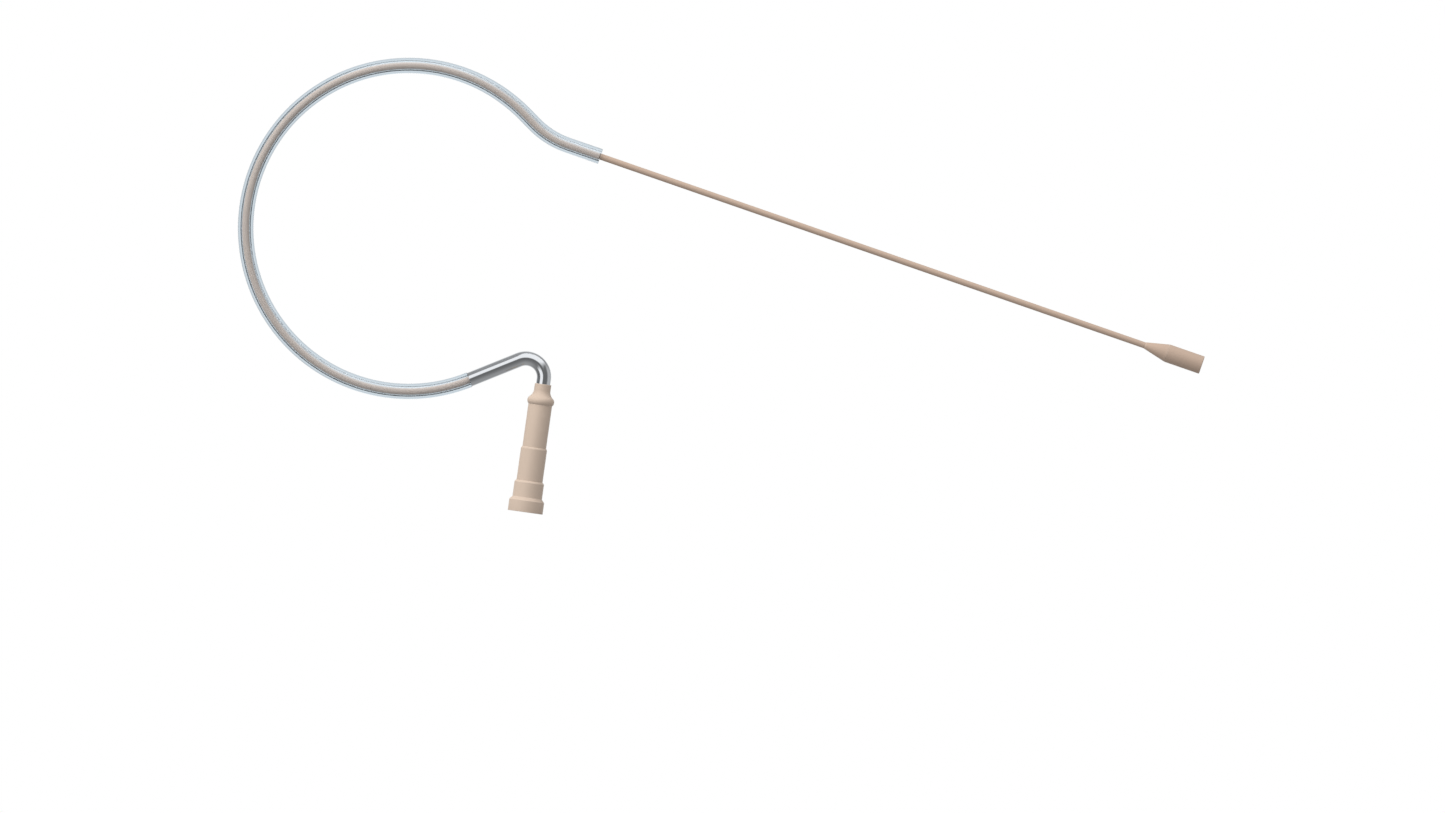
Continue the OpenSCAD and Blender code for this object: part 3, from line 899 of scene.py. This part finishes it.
class HEADSET_OT_contacts(bpy.types.Operator):
    """Build the outer contact with its groove, the insulator and the centre contact"""

    bl_idname = "headset.contacts"
    bl_label = "Contacts"

    def execute(self, context):
        sizes = context.scene.headset_socket
        line = socket_line(context.scene.headset_loop)
        floor = sizes.socket_length - sizes.plug_depth
        back, disc_r = sizes.rear_end, sizes.insulator_d / 2
        bore = sizes.contact_bore / 2
        groove = bore + sizes.groove_depth
        from_d = sizes.groove_at - sizes.groove_width / 2
        to_d = sizes.groove_at + sizes.groove_width / 2
        soft = 0.04 * MM
        outline = softened(
            (back, sizes.rear_d / 2),
            (sizes.contact_end, sizes.rear_d / 2),
            (sizes.contact_end, bore, soft),
            (to_d, bore, soft / 2),
            (to_d, groove),
            (from_d, groove),
            (from_d, bore, soft / 2),
            (floor, bore),
            (floor, disc_r, soft),
            (back, disc_r),
        )
        turned("contact_outer", "outer_contact", "gold_plate", line, outline)
        pin = 0.3 * MM
        disc = softened((back, disc_r), (floor, disc_r, soft), (floor, pin, soft), (back, pin))
        turned("insulator_disc", "socket_insulator", "white_insulator", line, disc, sides=64)
        tail, tip = back - 0.8 * MM, floor - 0.25 * MM
        core, core_depth = 0.06 * MM, 0.6 * MM
        hole, hole_depth = 0.15 * MM, 2.2 * MM
        contact = softened(
            (tail + core_depth, 0.0),
            (tail + core_depth, core),
            (tail, core),
            (tail, pin, soft),
            (tip, pin, soft),
            (tip, hole, soft / 2),
            (tip - hole_depth, hole),
            (tip - hole_depth, 0.0),
        )
        turned(
            "contact_centre", "centre_contact", "gold_plate", line, contact, sides=40, closed=False
        )
        return {"FINISHED"}


class HEADSET_OT_flex_lead(bpy.types.Operator):
    """Build the lead's two halves, one across each hinge"""

    bl_idname = "headset.flex_lead"
    bl_label = "Bending Lead"

    def execute(self, context):
        sizes = context.scene.headset_loop
        half = sizes.flex_half
        radius = sizes.lead_d / 2
        line = Line(PIVOT - half * BOOM_WAY, BOOM_HEADING).run(2 * half)
        steps = 12
        for name, begin, bodies in (
            ("lead_bend_rear", 0.0, ("ear_loop", "boom_flex")),
            ("lead_bend_front", half, ("boom_flex", "boom")),
        ):
            end = begin + half
            wall = [(begin + half * step / steps, radius) for step in range(steps + 1)]
            outline = [(begin, 0.0), *wall, (end, 0.0)]
            piece = turned(
                name, "flex_lead", "lead_screen", line, outline, sides=24, closed=False, body=None
            )
            line.at(begin)[0]
            line.at(end)[0]
            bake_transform(piece)
        return {"FINISHED"}


class HEADSET_OT_boom(bpy.types.Operator):
    """Build the boom's tube, with the round root that turns in the sleeve's mouth"""

    bl_idname = "headset.boom"
    bl_label = "Boom Tube"

    def execute(self, context):
        sizes = context.scene.headset_boom
        tube = context.scene.headset_loop
        bore = tube.tube_bore / 2
        radius = sizes.boom_d / 2
        open_angle = math.degrees(math.asin(sizes.root_bore / 2 / radius))
        root = arc((0.0, 0.0), radius, 180 - open_angle, 90, 8)
        end = sizes.boom_length + sizes.boom_seat
        outline = [*root, (end, radius), (end, bore), (tube.flex_half, bore)]
        turned("boom", "boom_tube", "boom_paint", boom_line(sizes), outline, sides=48, body="boom")
        return {"FINISHED"}


class HEADSET_OT_capsule(bpy.types.Operator):
    """Build the capsule housing with its cone"""

    bl_idname = "headset.capsule"
    bl_label = "Capsule Housing"

    def execute(self, context):
        sizes = context.scene.headset_boom
        start = sizes.boom_length
        shoulder = start + sizes.cone_length
        mesh_room = 0.13 * MM
        barrel_end = shoulder + sizes.cap_gap + sizes.cap_length - sizes.cap_front - mesh_room
        barrel_floor = shoulder - 0.3 * MM
        bore = context.scene.headset_loop.tube_bore / 2
        soft = 0.05 * MM
        outline = softened(
            (start, sizes.boom_d / 2),
            (start, sizes.boom_d / 2 + 0.03 * MM, 0.02 * MM),
            (shoulder, sizes.cap_d / 2 - 0.01 * MM, 0.03 * MM),
            (shoulder, sizes.barrel_d / 2),
            (barrel_end, sizes.barrel_d / 2, soft),
            (barrel_end, sizes.barrel_bore / 2),
            (barrel_floor, sizes.barrel_bore / 2),
            (barrel_floor, bore),
            (start + sizes.boom_seat, bore),
            (start + sizes.boom_seat, sizes.boom_d / 2),
        )
        line = boom_line(sizes)
        turned("housing", "capsule_housing", "boom_paint", line, outline, body="boom")
        return {"FINISHED"}


class HEADSET_OT_cap(bpy.types.Operator):
    """Build the protective cap and the woven mesh behind its opening"""

    bl_idname = "headset.cap"
    bl_label = "Protective Cap"

    def execute(self, context):
        sizes = context.scene.headset_boom
        line = boom_line(sizes)
        begin = sizes.boom_length + sizes.cone_length + sizes.cap_gap
        tip = begin + sizes.cap_length
        lip = sizes.cap_gap - sizes.seam
        outline = softened(
            (begin - lip, sizes.cap_d / 2 - 0.02 * MM),
            (begin - lip + 0.02 * MM, sizes.cap_d / 2),
            (tip, sizes.cap_d / 2, 0.15 * MM),
            (tip, sizes.port_d / 2, 0.08 * MM),
            (tip - sizes.cap_front, sizes.port_d / 2),
            (tip - sizes.cap_front, sizes.cap_bore / 2),
            (begin - lip, sizes.cap_bore / 2, 0.03 * MM),
            steps=6,
        )
        turned("cap", "protective_cap", "boom_paint", line, outline, body="cap")
        self.weave(line, tip - sizes.cap_front - 0.04 * MM, sizes)
        return {"FINISHED"}

    def weave(self, line, distance, sizes):
        """Woven wires that pass over and under each other, trimmed to the cap's bore."""
        centre, heading = line.at(distance)
        axes = [SIDE_WAY, way(heading + math.pi / 2)]
        out = way(heading)
        reach = sizes.cap_bore / 2 - 0.02 * MM
        pitch = 2 * reach / sizes.mesh_wires
        wire_r = pitch * 0.2
        wave = min(wire_r, 0.02 * MM)
        mesh = bmesh.new()
        for which in (0, 1):
            along_way, across_way = axes[which], axes[1 - which]
            for index in range(sizes.mesh_wires):
                across = (index + 0.5) * pitch - reach
                half = math.sqrt(reach**2 - across**2)
                if half < pitch:
                    continue
                phase = math.pi * (index + which)
                steps = max(6, round(2 * half / pitch) * 4)
                rings = []
                for step in range(steps + 1):
                    along = -half + 2 * half * step / steps
                    lift = wave * math.cos(math.pi * (along + reach) / pitch - math.pi / 2 + phase)
                    middle = centre + along * along_way + across * across_way + lift * out
                    rings.append(circle(mesh, middle, wire_r, across_way, out, WIRE_SIDES))
                for ring, following in zip(rings, rings[1:]):
                    for side in range(WIRE_SIDES):
                        beyond = (side + 1) % WIRE_SIDES
                        quad = [ring[side], ring[beyond], following[beyond], following[side]]
                        mesh.faces.new(quad)
                mesh.faces.new(rings[0])
                mesh.faces.new(rings[-1][::-1])
        finished_piece("mesh_weave", "cap_mesh", "fine_mesh", mesh, "cap")


HIDDEN_IN_GLOSS = [  # pieces of the socket that the polished hook does not mirror
    "boot", "barrel_rear", "barrel_front", "mouth",
    "contact_outer", "insulator_disc", "contact_centre",
]
CAMERA_BACK = 0.6
LAMP_AIM = Vector((0.03, 0, -0.01))
LAMP_AZIMUTH = math.radians(-48)
LAMP_ELEVATION = math.radians(50)
LAMP_DISTANCE = 0.95
LAMP_SIZE = 0.8
FLOOR_REACH = 1.5
FLOOR_GAP = 0.1 * MM


class HEADSET_OT_stage(bpy.types.Operator):
    """Set up the camera, the lamp, the floor and the room"""

    bl_idname = "headset.stage"
    bl_label = "Stage"

    def execute(self, context):
        settings = context.scene.headset_stage
        self.camera(settings)
        self.lamp(settings.lamp_power)
        self.floor(cad_box[0].z - FLOOR_GAP)
        self.room(settings.sky)
        for name in HIDDEN_IN_GLOSS:
            bpy.data.objects[name].visible_glossy = False
        context.scene.view_settings.view_transform = "Standard"
        return {"FINISHED"}

    def camera(self, settings):
        """The camera in front of the object."""
        data = bpy.data.cameras.new("camera")
        data.type = "ORTHO"
        data.ortho_scale = settings.view_width
        camera = placed("camera", data)
        camera.location = (settings.view_x, -CAMERA_BACK, settings.view_z)
        camera.rotation_euler = (math.pi / 2, 0, 0)
        bpy.context.scene.camera = camera

    def lamp(self, power):
        """A soft lamp in front, up on the left; reflections show the room's panel instead."""
        level = math.cos(LAMP_ELEVATION)
        left, forward = math.sin(LAMP_AZIMUTH) * level, -math.cos(LAMP_AZIMUTH) * level
        out = Vector((left, forward, math.sin(LAMP_ELEVATION)))
        data = bpy.data.lights.new("lamp", "AREA")
        data.size = LAMP_SIZE
        data.energy = power
        lamp = placed("lamp", data)
        lamp.location = LAMP_AIM + LAMP_DISTANCE * out
        lamp.rotation_euler = (-out).to_track_quat("-Z", "Y").to_euler()
        lamp.visible_glossy = False
        lamp.visible_transmission = False

    def floor(self, height):
        """A pale floor that neither lights the object nor shows in it."""
        corners = [(-1, -1), (1, -1), (1, 1), (-1, 1)]
        places = [(x * FLOOR_REACH, y * FLOOR_REACH, height) for x, y in corners]
        data = bpy.data.meshes.new("floor")
        data.from_pydata(places, [], [range(len(places))])
        tree = new_finish("pale_floor")
        shade = tree.mixed(0.2 * tree.noise(60, 3.0), (0.86, 0.86, 0.86), (0.8, 0.8, 0.8))
        data.materials.append(tree.cover(shade, 0.9))
        floor = placed("floor", data)
        floor.visible_diffuse = False
        floor.visible_glossy = False
        floor.visible_transmission = False

    def room(self, sky):
        """White behind the object, bright panel in front above, grey walls, dark round the camera.

        Each term is a brightness from 0 to 1 over the directions in which a ray can leave.
        """
        world = bpy.context.scene.world or bpy.data.worlds.new("room")
        bpy.context.scene.world = world
        tree = Tree(world)
        side, behind, height = tree.axes(tree.node("TexCoord", output="Generated"), "XYZ")
        backdrop = tree.ramp(behind, (0.35, 0.0), (0.72, 0.42), (0.9, 0.8), (0.97, 1.0))
        panel_far_edge = 0.6 * (3 * side + 1).clamped() - 0.4
        panel_depth = behind.rise(-0.98, 25) * (panel_far_edge - behind).rise(0, 8)
        panel = (0.82 * height - 0.57 * side).rise(-0.08, 5) * panel_depth
        right_wall = 0.35 * side.rise(0.78, 6)
        walls = 0.15 + 0.2 * height * height + right_wall
        walls = walls + panel * (1 - walls)
        mirrored = walls + (1 - walls) * backdrop
        beyond = tree.ramp(
            (behind * behind) ** 0.5, (0.5, 0.54), (0.72, 0.71), (0.9, 0.84), (0.98, 1.0)
        )
        above_and_below = height.rise(0.72, 8) + (-0.25 * height).clamped()
        refracted = beyond + (1 - beyond) * above_and_below
        camera, glossy, through, scattered = (
            tree.node("LightPath", output=ray)
            for ray in ("Is Camera Ray", "Is Glossy Ray", "Is Transmission Ray", "Diffuse Depth")
        )
        direct = 1 - scattered.clamped()
        matt = sky * (0.75 + 0.25 * height)
        shown = mirrored * (1 - through) + refracted * through
        strength = matt + direct * (glossy + through).clamped() * (shown - matt)
        strength = strength + camera * (1 - strength)
        tint = tree.mixed(direct * through, (1, 1, 1), (0.84, 0.935, 1))
        background = tree.node("Background", {"Color": tint, "Strength": strength})
        tree.finish(background, "OutputWorld")


class HEADSET_PT_panel(bpy.types.Panel):
    """Lists the steps that build the headset microphone"""

    bl_idname = "HEADSET_PT_panel"
    bl_label = "Headset Microphone"
    bl_space_type = "VIEW_3D"
    bl_region_type = "UI"
    bl_category = "Headset"

    def draw(self, context):
        for group in SETTINGS:
            box = self.layout.box()
            box.label(text=group.replace("_", " ").title())
            settings = getattr(context.scene, group)
            for name in settings.bl_rna.properties.keys():
                if name not in {"rna_type", "name"}:
                    box.prop(settings, name)
        for step in STEPS:
            self.layout.operator(step.bl_idname)


STEPS = [
    HEADSET_OT_finishes,
    HEADSET_OT_ear_tube,
    HEADSET_OT_sleeve,
    HEADSET_OT_hook,
    HEADSET_OT_boot,
    HEADSET_OT_barrels,
    HEADSET_OT_mouth,
    HEADSET_OT_contacts,
    HEADSET_OT_flex_lead,
    HEADSET_OT_boom,
    HEADSET_OT_capsule,
    HEADSET_OT_cap,
    HEADSET_OT_stage,
]

CLASSES = [*SETTINGS.values(), *STEPS, HEADSET_PT_panel]


def register():
    """Registers the settings, the steps and the panel."""
    for item in CLASSES:
        bpy.utils.register_class(item)
    for name, group in SETTINGS.items():
        setattr(bpy.types.Scene, name, PointerProperty(type=group))


def unregister():
    """Takes everything out again."""
    for name in SETTINGS:
        delattr(bpy.types.Scene, name)
    for item in reversed(CLASSES):
        bpy.utils.unregister_class(item)


def main():
    """Builds the microphone and its stage."""
    register()
    for step in STEPS:
        getattr(bpy.ops.headset, step.bl_idname.split(".")[1])()


if __name__ == "__main__":
    main()
